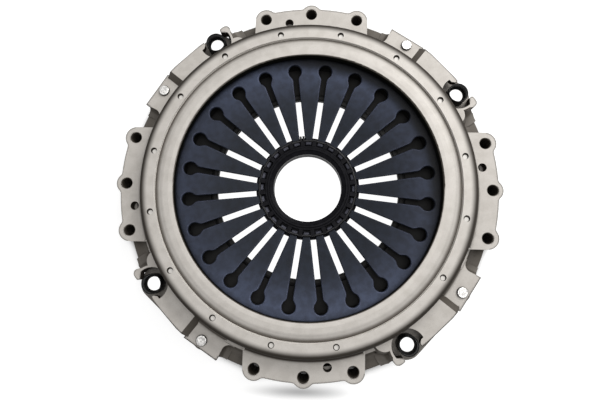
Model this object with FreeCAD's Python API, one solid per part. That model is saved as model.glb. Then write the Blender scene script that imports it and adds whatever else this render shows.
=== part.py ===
"""Clutch cover assembly of a heavy truck, pull type, for a 430 mm disc.

The part lies on its mounting flange as it would on a bench: z = 0 is the face
that bolts to the flywheel and +Z points to the gearbox. Angles are clock
angles, clockwise from +Y when seen from the gearbox side, and the whole cover
repeats every quarter turn. Lengths are millimetres.
"""
import FreeCAD, Part
import math
import os

V = FreeCAD.Vector
AXIS = V(0, 0, 1)
ORIGIN = V(0, 0, 0)
QUARTERS = 4

# Diaphragm spring, which everything else is built round
SPRING_OUTER_R = 192.0
SPRING_BEND_R = 134.0
SPRING_TIP_R = 55.0
SPRING_THICKNESS = 4.6
SPRING_EDGE = 0.9
SPRING_TIP_Z = 27.6
DISC_SLOPE = 7.0
FINGER_SLOPE = 10.6
FINGER_COUNT = 24
SLOT_WIDTH = 6.8
KEYHOLE_R = 8.2
KEYHOLE_PLACE_R = 146.3
KEYHOLE_SHOULDER = 40.0
KEYHOLE_BLEND = 8.0
SPRING_CENTRING_GAP = 0.3

# Steps outwards from the spring to the rim, the bolts and the edges
RIM_ROOM = 6.0
RIM_WALL_TOP = 2.0
RIM_DRAFT = 6.0
BOLT_REACH = 19.0
FLANGE_REACH = 7.2
LEG_REACH = 8.4
SKIRT_REACH = 8.5
DOWEL_REACH = 10.0
LUG_REACH = 2.0
STRAP_RIVET_REACH = 0.5
RIVET_PAD_REACH = 12.0
STRAP_PAD_REACH = 7.4
HOOK_REACH = 12.0
RIM_INNER_R = SPRING_OUTER_R + RIM_ROOM
RIM_SHOULDER_R = RIM_INNER_R + RIM_WALL_TOP
RIM_FOOT_R = RIM_SHOULDER_R + RIM_DRAFT
BOLT_CIRCLE_R = RIM_FOOT_R + BOLT_REACH
FLANGE_R = BOLT_CIRCLE_R + FLANGE_REACH
LEG_R = BOLT_CIRCLE_R + LEG_REACH
SKIRT_INNER_R = BOLT_CIRCLE_R - SKIRT_REACH
DOWEL_CIRCLE_R = BOLT_CIRCLE_R - DOWEL_REACH
LUG_CIRCLE_R = BOLT_CIRCLE_R - LUG_REACH
STRAP_RIVET_R = BOLT_CIRCLE_R + STRAP_RIVET_REACH
RIVET_PAD_R = BOLT_CIRCLE_R + RIVET_PAD_REACH
STRAP_PAD_R = BOLT_CIRCLE_R + STRAP_PAD_REACH
HOOK_R = BOLT_CIRCLE_R + HOOK_REACH

# Flange and bolting
BOLT_STEP = 15.0
BOLT_HOLE_R = 6.4
BOLT_HOLE_CHAMFER = 0.8
BOSS_R = 12.8
END_BOSS_R = 13.6
VALLEY_FILLET = 6.0
DOWEL_CLOCK = -7.5
DOWEL_HOLE_R = 5.2
FLANGE_Z = 38.0

# Legs below the flange, which stand on the flywheel
LEG_START = -27.4
LEG_END = 27.0
LEG_EDGE_Z = 14.0
LEDGE_WIDTH = 6.3
LEDGE_Z = 29.6
LEDGE_FILLET = 9.0
SCOOP_Z = 15.8
SCOOP_FILLET = 12.5
WALL_TUCK = 0.6
ROOF = 9.0
UNDER_FLANGE = 17.8
LOW_ROOF_Z = 17.0

# Rim, a drafted wall that carries the two top rings
RIM_BOTTOM_Z = 23.5
RIM_TOP_Z = 60.0
RIM_EDGE = 4.5
FOOT_FILLET = 5.0
OUTER_RING_WIDTH = 17.0
OUTER_RING_INNER_R = RIM_SHOULDER_R - OUTER_RING_WIDTH
GROOVE_DEPTH = 3.4
GROOVE_SLOPE_WIDTH = 10.5
INNER_RING_RISE = 1.6
OPENING_OVERLAP = 32.5
OPENING_R = SPRING_OUTER_R - OPENING_OVERLAP
LIP_EDGE = 1.6
LIP_DEPTH = 8.5
CEILING = 7.5

# Blind drillings in the outer ring; one place is left plain
DRILL_COUNT = 16
DRILL_PLAIN = 6
DRILL_CIRCLE_R = RIM_SHOULDER_R - 11.0
DRILL_R = 3.8
DRILL_DEPTH = 2.2

# Shelves between the legs, over the drive straps
RIVET_PAD_Z = 29.0
RIVET_PAD_END = 37.3
PAD_START_TUCK = 0.6
STRAP_PAD_Z = 37.0
STRAP_PAD_END = 57.0
PAD_THICKNESS = 8.0
PAD_CHAMFER = 1.2
RAMP_RUN = 8.0
PAD_FOOT_WIDTH = 10.5
RIVET_PAD_SAGITTA = 1.6
STRAP_PAD_SAGITTA = 0.9
STRAP_PAD_CLOCK = 46.5

# Pocket round each plate lug, with the cast hook on its far side
LUG_CLOCK = 56.6
POCKET_R = 20.2
HOOK_WALL = 4.2
HOOK_FOOT = 15.0
HOOK_FOOT_Z = 16.0
HOOK_FILLET = 12.5
HOOK_START = -82.0
HOOK_END = 18.0
HOOK_TIP_Z = 24.6
BUTTRESS_R = 13.0
BUTTRESS_FOOT_R = 21.0

# Fulcrum wire between the cover and the spring's outer edge
FULCRUM_INSET = 4.0
FULCRUM_R = SPRING_OUTER_R - FULCRUM_INSET
FULCRUM_WIRE_R = 2.5
WIRE_GAP = 0.05
WIRE_SEAT_GAP = 0.3

# Pressure plate
PLATE_FACE_Z = 1.0
PLATE_SIDE_GAP = 3.0
PLATE_R = SKIRT_INNER_R - PLATE_SIDE_GAP
PLATE_RING_HEIGHT = 13.0
PLATE_BODY_GAP = 2.5
PLATE_BODY_R = RIM_INNER_R - PLATE_BODY_GAP
PLATE_BODY_HEIGHT = 26.0
PLATE_INNER_R = 125.0
PLATE_LIP_R = 113.5
PLATE_LIP_HEIGHT = 30.0
PLATE_LIP_WIDTH = 6.0
RIDGE_INSET = 26.0
RIDGE_R = FULCRUM_R - RIDGE_INSET
RIDGE_WIDTH = 7.0
RIDGE_ROOT_WIDTH = 15.0
RIDGE_GAP_COUNT = 12
RIDGE_GAP_WIDTH = 14.0
RIDGE_CLEARANCE = 0.3
LUG_BOTTOM_Z = 9.6
LUG_R = 16.5
LUG_ROOT_R = 22.0

# Drive straps: packs of flat leaves between rivet pads and lugs
STRAP_RIVET_CLOCK = 33.2
LEAF_COUNT = 3
LEAF_THICKNESS = 1.3
LEAF_COVER_END_R = 13.0
LEAF_LUG_END_R = 18.4
LEAF_END_STEP = 0.9

# Rivets of the straps on the cover side
RIVET_R = 5.0
RIVET_HEAD_R = 6.9
RIVET_HEAD_HEIGHT = 2.8
RIVET_TAIL_R = 7.4
RIVET_TAIL_HEIGHT = 2.6
WASHER_R = 9.5
WASHER_THICKNESS = 1.8
FIT_GAP = 0.05

# Tubular rivets that clamp the straps to the lugs and stop the lift
TUBE_R = 12.4
TUBE_TOP_Z = 38.0
TUBE_SPIGOT_R = 11.4
TUBE_LIP_R = 8.4
TUBE_LIP_Z = 27.4
TUBE_LIP_THICKNESS = 1.4
TUBE_COUNTERBORE_R = 10.9
TUBE_TAIL_BORE_R = 10.5
TUBE_FLARE = 2.0

# Release ring at the fingertips
BORE_R = 42.4
RELEASE_FLANGE_R = 65.0
RELEASE_BOTTOM_Z = 13.5
RELEASE_BARREL_R = 53.0
RELEASE_TIP_GAP = 0.3
BARREL_TOP_Z = 30.3
TAB_WIDTH = 4.8
TAB_R = 60.0
TAB_RISE = 3.2
COLLAR_INNER_R = 47.2
COLLAR_HEIGHT = 5.0
COLLAR_RISE = 2.2
LOCK_WIRE_R = 59.9
LOCK_WIRE_THICKNESS_R = 1.3
LOCK_WIRE_GAP_DEGREES = 3.4
LOCK_WIRE_TAIL = 6.0
BEARING_GROOVE_Z = 20.0
BEARING_GROOVE_WIDTH = 2.2
BEARING_GROOVE_DEPTH = 1.4

# Places that follow from the sizes above
STRAP_TOP_Z = RIVET_PAD_Z - PAD_THICKNESS
STRAP_HEIGHT = LEAF_COUNT * LEAF_THICKNESS
STRAP_BOTTOM_Z = STRAP_TOP_Z - STRAP_HEIGHT
LUG_TOP_Z = STRAP_BOTTOM_Z
CEILING_Z = RIM_TOP_Z - CEILING
LUG_ROOM_Z = STRAP_TOP_Z + 3.5
FLANGE_ROOF_Z = FLANGE_Z - ROOF
LEG_INNER_R = RIM_FOOT_R - 4.0
QUARTER = 360.0 / QUARTERS
FINGER_STEP = 360.0 / FINGER_COUNT


def spot(radius, clock, z=0.0):
    """Point at a radius and a clock angle."""
    angle = math.radians(clock)
    return V(radius * math.sin(angle), radius * math.cos(angle), z)


def turn(shape, clock):
    """Copy of a shape, turned clockwise about the axis."""
    copy = shape.copy()
    copy.rotate(ORIGIN, AXIS, -clock)
    return copy


def pattern(shape, count):
    """Equally spaced copies of a shape round the axis."""
    return [turn(shape, i * 360.0 / count) for i in range(count)]


def rounded_wire(corners, place):
    """Closed wire through (u, v) or (u, v, size) corners: rounded, or chamfered where size is negative."""
    points = [V(c[0], c[1], 0) for c in corners]
    radii = [c[2] if len(c) > 2 else 0.0 for c in corners]
    legs = []
    for i, point in enumerate(points):
        before = (points[i - 1] - point).normalize()
        after = (points[(i + 1) % len(points)] - point).normalize()
        if radii[i] <= 0.0:
            legs.append((point - before * radii[i], None, point - after * radii[i]))
            continue
        half = before.getAngle(after) / 2.0
        reach = radii[i] / math.tan(half)
        inward = (before + after).normalize()
        middle = point + inward * (radii[i] / math.sin(half) - radii[i])
        legs.append((point + before * reach, middle, point + after * reach))
    edges = []
    for i, (start, middle, end) in enumerate(legs):
        if middle is not None:
            edges.append(Part.Arc(place(start), place(middle), place(end)).toShape())
        elif start.distanceToPoint(end) > 1e-6:
            edges.append(Part.LineSegment(place(start), place(end)).toShape())
        following = legs[(i + 1) % len(legs)][0]
        if end.distanceToPoint(following) > 1e-6:
            edges.append(Part.LineSegment(place(end), place(following)).toShape())
    return Part.Wire(edges)


def in_section(point):
    """Profile point (radius, height) on the XZ plane."""
    return V(point.x, 0, point.y)


def turned(corners, start=0.0, end=360.0):
    """Solid turned from a (radius, height) profile between two clock angles."""
    face = Part.Face(rounded_wire(corners, in_section))
    face.rotate(ORIGIN, AXIS, 90.0 - end)
    return face.revolve(ORIGIN, AXIS, end - start)


def rod(radius, bottom, top, centre=ORIGIN):
    """Upright cylinder between two heights."""
    return Part.makeCylinder(radius, top - bottom, V(centre.x, centre.y, bottom))


def upright(corners, bottom, top):
    """Upright prism over a plan outline."""
    face = Part.Face(rounded_wire(corners, lambda p: V(p.x, p.y, bottom)))
    return face.extrude(V(0, 0, top - bottom))


def radial_bar(inner, outer, width, bottom, top, clock=0.0):
    """Box that runs outwards along one clock angle."""
    box = Part.makeBox(width, outer - inner, top - bottom, V(-width / 2.0, inner, bottom))
    return turn(box, clock)


def belt(first, first_r, second, second_r, bottom, top):
    """Flat link: two round ends joined by their outer tangents."""
    along = second - first
    length = along.Length
    unit = along.normalize()
    side = V(-unit.y, unit.x, 0)
    lean = (first_r - second_r) / length
    rise = math.sqrt(1.0 - lean * lean)
    normals = [unit * lean + side * rise, unit * lean - side * rise]
    a = first + normals[0] * first_r
    b = second + normals[0] * second_r
    c = second + normals[1] * second_r
    d = first + normals[1] * first_r
    edges = [
        Part.LineSegment(a, b).toShape(),
        Part.Arc(b, second + unit * second_r, c).toShape(),
        Part.LineSegment(c, d).toShape(),
        Part.Arc(d, first - unit * first_r, a).toShape(),
    ]
    face = Part.Face(Part.Wire(edges))
    face.translate(V(0, 0, bottom))
    return face.extrude(V(0, 0, top - bottom))


def wall_r(z):
    """Outer radius of the drafted rim wall at a height."""
    return RIM_FOOT_R - (z - FLANGE_Z) * (RIM_FOOT_R - RIM_SHOULDER_R) / (RIM_TOP_Z - FLANGE_Z)


def spring_top(radius):
    """Height of the spring's gearbox side at a radius."""
    bend = SPRING_TIP_Z + (min(radius, SPRING_BEND_R) - SPRING_TIP_R) * math.tan(math.radians(FINGER_SLOPE))
    return bend + max(0.0, radius - SPRING_BEND_R) * math.tan(math.radians(DISC_SLOPE))


def spring_bottom(radius):
    """Height of the spring's flywheel side at a radius."""
    slope = DISC_SLOPE if radius > SPRING_BEND_R else FINGER_SLOPE
    return spring_top(radius) - SPRING_THICKNESS / math.cos(math.radians(slope))


def rim():
    """Drafted wall with the two top rings, turned in one piece."""
    groove_z = RIM_TOP_Z - GROOVE_DEPTH
    crown_z = RIM_TOP_Z + INNER_RING_RISE
    shoulder_z = spring_top(SPRING_OUTER_R) - SPRING_THICKNESS
    centring_r = SPRING_OUTER_R + SPRING_CENTRING_GAP
    slope_r = OUTER_RING_INNER_R - GROOVE_SLOPE_WIDTH
    return turned([
        (wall_r(RIM_BOTTOM_Z), RIM_BOTTOM_Z),
        (RIM_SHOULDER_R, RIM_TOP_Z, RIM_EDGE),
        (OUTER_RING_INNER_R, RIM_TOP_Z),
        (OUTER_RING_INNER_R - 0.5, groove_z),
        (slope_r + 0.5 * GROOVE_SLOPE_WIDTH, crown_z - 2.0, 12.0),
        (slope_r, crown_z - 0.3, 8.0),
        (OPENING_R + 6.0, crown_z),
        (OPENING_R, crown_z - 0.6, LIP_EDGE),
        (OPENING_R, RIM_TOP_Z - LIP_DEPTH),
        (OPENING_R + 9.0, CEILING_Z),
        (centring_r, CEILING_Z),
        (centring_r, shoulder_z),
        (RIM_INNER_R, shoulder_z - 6.0),
        (RIM_INNER_R, RIM_BOTTOM_Z),
    ])


def foot(z, start, end):
    """Concave fillet where the rim wall stands on a shelf at height z."""
    sink = FOOT_FILLET
    base = wall_r(z)
    arc_start = V(base + FOOT_FILLET, 0, z)
    arc_end = V(wall_r(z + FOOT_FILLET), 0, z + FOOT_FILLET)
    centre = V(arc_start.x, 0, arc_end.z)
    middle = centre + V(-1, 0, -1).normalize() * FOOT_FILLET
    wire = Part.Wire([
        Part.LineSegment(V(base - sink, 0, z - sink), V(arc_start.x, 0, z - sink)).toShape(),
        Part.LineSegment(V(arc_start.x, 0, z - sink), arc_start).toShape(),
        Part.Arc(arc_start, middle, arc_end).toShape(),
        Part.LineSegment(arc_end, V(base - sink, 0, arc_end.z)).toShape(),
        Part.LineSegment(V(base - sink, 0, arc_end.z), V(base - sink, 0, z - sink)).toShape(),
    ])
    face = Part.Face(wire)
    face.rotate(ORIGIN, AXIS, 90.0 - end)
    return face.revolve(ORIGIN, AXIS, end - start)


def shelf(outer, bottom, top, start, end):
    """Sector of a flat shelf that grows from the rim wall, chamfered at its outer edge."""
    return turned([(LEG_INNER_R, bottom), (outer, bottom), (outer, top, -PAD_CHAMFER), (LEG_INNER_R, top)],
                  start, end)


def radius_of(edge):
    """Distance of an edge's middle from the axis."""
    return math.hypot(edge.CenterOfMass.x, edge.CenterOfMass.y)


def flange():
    """Bolting flange with three bosses; its ends run straight inwards from the end bosses."""
    side = spot(BOLT_CIRCLE_R, BOLT_STEP).x + END_BOSS_R
    shoulder = spot(BOLT_CIRCLE_R, BOLT_STEP).y
    edge = turned([(LEG_INNER_R, 0), (FLANGE_R, 0), (FLANGE_R, FLANGE_Z), (LEG_INNER_R, FLANGE_Z)],
                  -BOLT_STEP, BOLT_STEP)
    inner_y = LEG_INNER_R * math.cos(math.radians(BOLT_STEP)) - END_BOSS_R
    block = Part.makeBox(2 * side, shoulder - inner_y, FLANGE_Z, V(-side, inner_y, 0))
    block = block.cut(rod(LEG_INNER_R, -1, FLANGE_Z + 1))
    bosses = [rod(BOSS_R, 0, FLANGE_Z, spot(BOLT_CIRCLE_R, 0))]
    bosses += [rod(END_BOSS_R, 0, FLANGE_Z, spot(BOLT_CIRCLE_R, c)) for c in (-BOLT_STEP, BOLT_STEP)]
    whole = edge.fuse([block] + bosses).removeSplitter()
    upright_edges = [e for e in whole.Edges if abs(e.Length - FLANGE_Z) < 1e-3]
    valleys = [e for e in upright_edges if abs(radius_of(e) - FLANGE_R) < 0.2]
    return whole.makeFillet(VALLEY_FILLET, valleys)


def leg():
    """Flange on a low leg, with a ledge and a hollow scoop beside the rim at both ends."""
    ledge_r = RIM_FOOT_R + LEDGE_WIDTH
    profile = [
        (LEG_INNER_R, 0), (LEG_R, 0), (LEG_R, LEG_EDGE_Z, 2.0), (ledge_r, SCOOP_Z, SCOOP_FILLET),
        (ledge_r, LEDGE_Z, -1.0), (wall_r(LEDGE_Z) - WALL_TUCK, LEDGE_Z + 1.9),
        (wall_r(FLANGE_Z) - WALL_TUCK, FLANGE_Z - 1.0), (LEG_INNER_R, FLANGE_Z - 1.0),
    ]
    ends = [turned(profile, LEG_START, -BOLT_STEP), turned(profile, BOLT_STEP, LEG_END)]
    return flange().fuse(ends + [pad_foot(), ledge_corner()])


def ledge_corner():
    """Rounded corner between the ledge beside the rim and the side of the rivet pad."""
    ledge_r = RIM_FOOT_R + LEDGE_WIDTH
    corner = upright([
        (2.0, LEG_INNER_R + 4.0), (2.0, ledge_r + LEDGE_FILLET + 1.0), (0, ledge_r + LEDGE_FILLET + 1.0),
        (0, ledge_r, LEDGE_FILLET), (-LEDGE_FILLET - 3.0, ledge_r), (-LEDGE_FILLET - 3.0, LEG_INNER_R + 4.0),
    ], LOW_ROOF_Z + 1.5, LEDGE_Z - 0.6)
    return turn(corner, LEG_END - PAD_START_TUCK)


def pad_foot():
    """Hollow curve from the leg's low end up to the side of the rivet pad."""
    top = RIVET_PAD_Z - 0.6
    wedge = upright([
        (2.0, 8.0), (2.0, top), (0.4, top), (-1.0, LEG_EDGE_Z + 2.5, PAD_FOOT_WIDTH - 2.0),
        (-PAD_FOOT_WIDTH, LEG_EDGE_Z + 1.5), (-PAD_FOOT_WIDTH, 8.0),
    ], 0, LEG_R - LEG_INNER_R - 0.4)
    wedge.rotate(ORIGIN, V(1, 0, 0), 90)
    wedge.translate(V(0, LEG_R - 0.4, 0))
    return turn(wedge, LEG_END - PAD_START_TUCK)


def in_pocket_frame(shape):
    """Move a shape drawn round the axis to a lug's centre; +Y then points outwards and +X clockwise."""
    shape.translate(V(0, LUG_CIRCLE_R, 0))
    return turn(shape, LUG_CLOCK)


def hook():
    """Cast hook: a wall round the far side of the pocket, with a hollow foot and an inward nose."""
    outer_r = POCKET_R + HOOK_WALL
    foot_r = outer_r + 1.4
    wall = turned([
        (POCKET_R - 1.0, 0), (foot_r + HOOK_FOOT, 0), (foot_r + HOOK_FOOT, HOOK_FOOT_Z),
        (foot_r, HOOK_FOOT_Z, HOOK_FILLET), (outer_r, STRAP_PAD_Z, -1.6), (POCKET_R - 1.0, STRAP_PAD_Z),
    ], 90.0 - HOOK_END, 90.0 - HOOK_START)
    nose = upright([
        (outer_r - 1.0, 1.0, 3.0), (outer_r + 1.8, 10.5, 5.0), (20.0, 13.6, 4.0), (12.6, 12.6, 2.2),
        (12.6, 8.4, 1.8), (17.4, 5.6, 1.0), (17.4, 1.0),
    ], HOOK_TIP_Z, STRAP_PAD_Z)
    buttress = Part.makeCone(BUTTRESS_FOOT_R, BUTTRESS_R, STRAP_PAD_Z - HOOK_FOOT_Z,
                             V(POCKET_R + 0.5, RIM_FOOT_R - LUG_CIRCLE_R - 3.0, HOOK_FOOT_Z))
    body = in_pocket_frame(wall.fuse([nose, buttress]))
    reach = turned([
        (LEG_INNER_R, 0), (LEG_R, 0), (LEG_R, LEG_EDGE_Z), (HOOK_R, LEG_EDGE_Z + 8.0),
        (HOOK_R, STRAP_PAD_Z), (LEG_INNER_R, STRAP_PAD_Z),
    ], LUG_CLOCK - 15.0, LUG_CLOCK + 15.0)
    room = rod(SKIRT_INNER_R, -1, LUG_ROOM_Z)
    return body.common(reach).cut([room, pocket_room(HOOK_TIP_Z)])


def pocket_room(nose_z):
    """Round room for a lug, which leaves the noses of the pocket's ends standing above a height."""
    low = rod(POCKET_R, -1, nose_z)
    high = upright([(-13.4, 60.0), (-13.4, 4.6), (-16.6, 1.2), (-POCKET_R, 0.6), (-POCKET_R, -POCKET_R),
                    (POCKET_R, -POCKET_R), (POCKET_R, 4.0), (17.4, 5.6), (12.6, 8.4), (12.6, 60.0)],
                   nose_z - 1, STRAP_PAD_Z + 5.0)
    high = high.common(rod(POCKET_R, nose_z - 1, STRAP_PAD_Z + 5.0))
    return in_pocket_frame(low.fuse(high))


def ramp():
    """Slanted end of the strap pad, cut down to the rivet pad."""
    drop = STRAP_PAD_Z - RIVET_PAD_Z
    over = drop + 5.0
    cutter = upright([(0, 0), (RAMP_RUN, drop), (RAMP_RUN, over), (-5.0, over), (-5.0, 0)], 0, 50.0)
    cutter.rotate(ORIGIN, V(1, 0, 0), 90)
    cutter.translate(V(0, RIM_FOOT_R + 45.0, RIVET_PAD_Z))
    return turn(cutter, RIVET_PAD_END)


def straight_edge(reach, top, clock):
    """Cutter that leaves a pad a straight outer edge with a chamfer, square to a clock angle."""
    cutter = upright([
        (reach, 0), (reach, top - PAD_CHAMFER), (reach - PAD_CHAMFER - 1.0, top + 1.0),
        (reach + 30.0, top + 1.0), (reach + 30.0, 0),
    ], -40.0, 40.0)
    cutter.rotate(ORIGIN, V(1, 0, 0), 90)
    return turn(cutter, clock - 90.0)


def shelves():
    """Rivet pad, strap pad and hook of one quarter."""
    rivet_pad = shelf(RIVET_PAD_R, STRAP_TOP_Z, RIVET_PAD_Z, LEG_END - PAD_START_TUCK, RIVET_PAD_END + 0.8)
    strap_pad = shelf(STRAP_PAD_R, STRAP_PAD_Z - PAD_THICKNESS, STRAP_PAD_Z, RIVET_PAD_END, STRAP_PAD_END)
    strap_edge = straight_edge(STRAP_PAD_R - STRAP_PAD_SAGITTA, STRAP_PAD_Z, STRAP_PAD_CLOCK)
    rivet_edge = straight_edge(RIVET_PAD_R - RIVET_PAD_SAGITTA, RIVET_PAD_Z, STRAP_RIVET_CLOCK - 0.8)
    return [rivet_pad.cut(rivet_edge), strap_pad.cut([ramp(), pocket_room(STRAP_TOP_Z), strap_edge]), hook()]


def feet():
    """Fillets at the foot of the rim wall over one quarter."""
    end = math.degrees(math.asin((spot(BOLT_CIRCLE_R, BOLT_STEP).x + END_BOSS_R) / RIM_FOOT_R)) - 0.8
    return [
        foot(FLANGE_Z, -end, end),
        foot(RIVET_PAD_Z, LEG_END - PAD_START_TUCK, RIVET_PAD_END + 0.4),
    ]


def cavity():
    """Room for the pressure plate inside the legs: low all round, high under each flange."""
    low = rod(SKIRT_INNER_R, -1, LOW_ROOF_Z)
    high = turned([(0, -1), (SKIRT_INNER_R, -1), (SKIRT_INNER_R, FLANGE_ROOF_Z, 5.0),
                   (RIM_INNER_R + 1.0, FLANGE_ROOF_Z + 3.0, 2.0), (RIM_INNER_R - 6.0, FLANGE_ROOF_Z + 3.0),
                   (0, FLANGE_ROOF_Z + 3.0)], -UNDER_FLANGE, UNDER_FLANGE)
    return low.fuse(high)


def wire_seat():
    """Groove in the ceiling for the fulcrum wire."""
    return Part.makeTorus(FULCRUM_R, FULCRUM_WIRE_R + WIRE_SEAT_GAP, V(0, 0, fulcrum_z()))


def fulcrum_z():
    """Height of the fulcrum wire's centre, on the spring's cone."""
    return spring_top(FULCRUM_R) + (FULCRUM_WIRE_R + WIRE_GAP) / math.cos(math.radians(DISC_SLOPE))


def bolt_holes():
    """Flange bolt holes, chamfered at the top, and the dowel hole of one quarter."""
    holes = []
    for clock in (-BOLT_STEP, 0.0, BOLT_STEP):
        place = spot(BOLT_CIRCLE_R, clock)
        holes.append(rod(BOLT_HOLE_R, -1, FLANGE_Z + 1, place))
        mouth = V(place.x, place.y, FLANGE_Z - BOLT_HOLE_CHAMFER)
        holes.append(Part.makeCone(BOLT_HOLE_R, BOLT_HOLE_R + BOLT_HOLE_CHAMFER, BOLT_HOLE_CHAMFER, mouth))
    return holes + [rod(DOWEL_HOLE_R, FLANGE_ROOF_Z - 3.0, FLANGE_Z + 1, spot(DOWEL_CIRCLE_R, DOWEL_CLOCK))]


def cover_housing():
    """Cast cover: rim, four legs and the shelves between them."""
    quarter = leg().cut(cavity()).fuse(shelves())
    fillets = [turn(f, i * QUARTER) for f in feet() for i in range(QUARTERS)]
    body = rim().fuse(pattern(quarter, QUARTERS) + fillets)
    rivet_place = spot(STRAP_RIVET_R, STRAP_RIVET_CLOCK)
    rivet_hole = rod(RIVET_R + FIT_GAP, STRAP_TOP_Z - 1, RIVET_PAD_Z + 1, rivet_place)
    holes = [turn(h, i * QUARTER) for h in bolt_holes() + [rivet_hole] for i in range(QUARTERS)]
    step = 360.0 / DRILL_COUNT
    drill_floor = RIM_TOP_Z - DRILL_DEPTH
    drillings = [
        rod(DRILL_R, drill_floor, RIM_TOP_Z + 1, spot(DRILL_CIRCLE_R, (i + 0.5) * step))
        for i in range(DRILL_COUNT) if i != DRILL_PLAIN
    ]
    return body.cut(holes + drillings + [wire_seat()]).removeSplitter()


def slot():
    """Cutter for one slot with its keyhole, along +Y."""
    half = SLOT_WIDTH / 2.0
    bottom = 0.0
    top = RIM_TOP_Z
    angle = math.radians(KEYHOLE_SHOULDER)
    side = KEYHOLE_R * math.cos(angle)
    side_y = KEYHOLE_PLACE_R - KEYHOLE_R * math.sin(angle)
    neck_y = side_y - (side - half) / math.tan(angle)
    parallel = radial_bar(SPRING_TIP_R - 5.0, neck_y, SLOT_WIDTH, bottom, top)
    round_end = rod(KEYHOLE_R, bottom, top, V(0, KEYHOLE_PLACE_R, 0))
    shoulders = upright([
        (-half, neck_y - KEYHOLE_BLEND), (half, neck_y - KEYHOLE_BLEND), (half, neck_y, KEYHOLE_BLEND),
        (side, side_y), (half, KEYHOLE_PLACE_R), (-half, KEYHOLE_PLACE_R), (-side, side_y),
        (-half, neck_y, KEYHOLE_BLEND),
    ], bottom, top)
    return parallel.fuse([round_end, shoulders]).removeSplitter()


def diaphragm_spring():
    """Dished spring: a coned disc at the rim and fingers between keyhole slots."""
    blank = turned([
        (SPRING_OUTER_R, spring_bottom(SPRING_OUTER_R), -SPRING_EDGE),
        (SPRING_OUTER_R, spring_top(SPRING_OUTER_R), -SPRING_EDGE),
        (SPRING_BEND_R, spring_top(SPRING_BEND_R)),
        (SPRING_TIP_R, spring_top(SPRING_TIP_R), -SPRING_EDGE),
        (SPRING_TIP_R, spring_bottom(SPRING_TIP_R), -SPRING_EDGE),
        (SPRING_BEND_R, spring_bottom(SPRING_BEND_R)),
    ])
    cutter = turn(slot(), FINGER_STEP / 2.0)
    return blank.cut(pattern(cutter, FINGER_COUNT))


def fulcrum_wire():
    """Round wire that the spring tilts on."""
    return Part.makeTorus(FULCRUM_R, FULCRUM_WIRE_R, V(0, 0, fulcrum_z()))


def pressure_plate():
    """Cast plate with its friction ring, fulcrum ridge and four lugs."""
    face_z = PLATE_FACE_Z
    ring_z = face_z + PLATE_RING_HEIGHT
    body_z = face_z + PLATE_BODY_HEIGHT
    lip_z = face_z + PLATE_LIP_HEIGHT
    ridge_in = RIDGE_R - RIDGE_WIDTH / 2.0
    ridge_out = RIDGE_R + RIDGE_WIDTH / 2.0
    ridge_z = spring_bottom(ridge_in) - RIDGE_CLEARANCE
    root = (RIDGE_ROOT_WIDTH - RIDGE_WIDTH) / 2.0
    disc = turned([
        (PLATE_INNER_R, face_z, -0.6), (PLATE_R, face_z, -1.0), (PLATE_R, ring_z, -2.0),
        (PLATE_BODY_R + 1.0, ring_z, 3.0), (PLATE_BODY_R, body_z, 4.0),
        (ridge_out + root, body_z), (ridge_out, ridge_z, -1.5), (ridge_in, ridge_z, -1.5),
        (ridge_in - root, body_z), (PLATE_LIP_R + PLATE_LIP_WIDTH + 3.0, body_z),
        (PLATE_LIP_R + PLATE_LIP_WIDTH, lip_z, -1.5), (PLATE_LIP_R, lip_z, -1.5),
        (PLATE_LIP_R, lip_z - 8.0),
    ])
    gap = radial_bar(ridge_in - root, ridge_out + root, RIDGE_GAP_WIDTH, body_z + 1.0, ridge_z + 5.0,
                     180.0 / RIDGE_GAP_COUNT)
    disc = disc.cut(pattern(gap, RIDGE_GAP_COUNT))
    centre = spot(LUG_CIRCLE_R, LUG_CLOCK)
    root_centre = spot(PLATE_BODY_R - LUG_ROOT_R, LUG_CLOCK)
    lug = belt(root_centre, LUG_ROOT_R, centre, LUG_R, LUG_BOTTOM_Z, LUG_TOP_Z)
    hole = rod(TUBE_SPIGOT_R + FIT_GAP, 0, LUG_TOP_Z + 1, centre)
    seat = Part.makeCone(TUBE_SPIGOT_R + TUBE_FLARE + FIT_GAP, TUBE_SPIGOT_R + FIT_GAP, TUBE_FLARE,
                         V(centre.x, centre.y, LUG_BOTTOM_Z))
    return disc.fuse(pattern(lug, QUARTERS)).cut(pattern(hole.fuse(seat), QUARTERS))


def strap_leaves():
    """Leaves of one drive strap pack, from the bottom up; each is shorter at its ends."""
    cover_end = spot(STRAP_RIVET_R, STRAP_RIVET_CLOCK)
    lug_end = spot(LUG_CIRCLE_R, LUG_CLOCK)
    leaves = []
    for i in range(LEAF_COUNT):
        bottom = STRAP_BOTTOM_Z + i * LEAF_THICKNESS
        top = bottom + LEAF_THICKNESS
        less = i * LEAF_END_STEP
        leaf = belt(cover_end, LEAF_COVER_END_R, lug_end, LEAF_LUG_END_R - less, bottom, top)
        holes = [rod(RIVET_R + FIT_GAP, bottom - 1, top + 1, cover_end),
                 rod(TUBE_SPIGOT_R + FIT_GAP, bottom - 1, top + 1, lug_end)]
        leaves.append(leaf.cut(holes))
    return leaves


def cover_rivet():
    """Domed rivet through the rivet pad, the strap pack and its washer."""
    tail_z = STRAP_BOTTOM_Z - WASHER_THICKNESS
    head_z = RIVET_PAD_Z
    rivet = turned([
        (0, tail_z - RIVET_TAIL_HEIGHT), (RIVET_TAIL_R, tail_z - RIVET_TAIL_HEIGHT, -1.0),
        (RIVET_TAIL_R, tail_z),
        (RIVET_R, tail_z), (RIVET_R, head_z), (RIVET_HEAD_R, head_z),
        (RIVET_HEAD_R, head_z + RIVET_HEAD_HEIGHT, 1.6), (0, head_z + RIVET_HEAD_HEIGHT),
    ])
    rivet.translate(spot(STRAP_RIVET_R, STRAP_RIVET_CLOCK))
    return rivet


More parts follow.
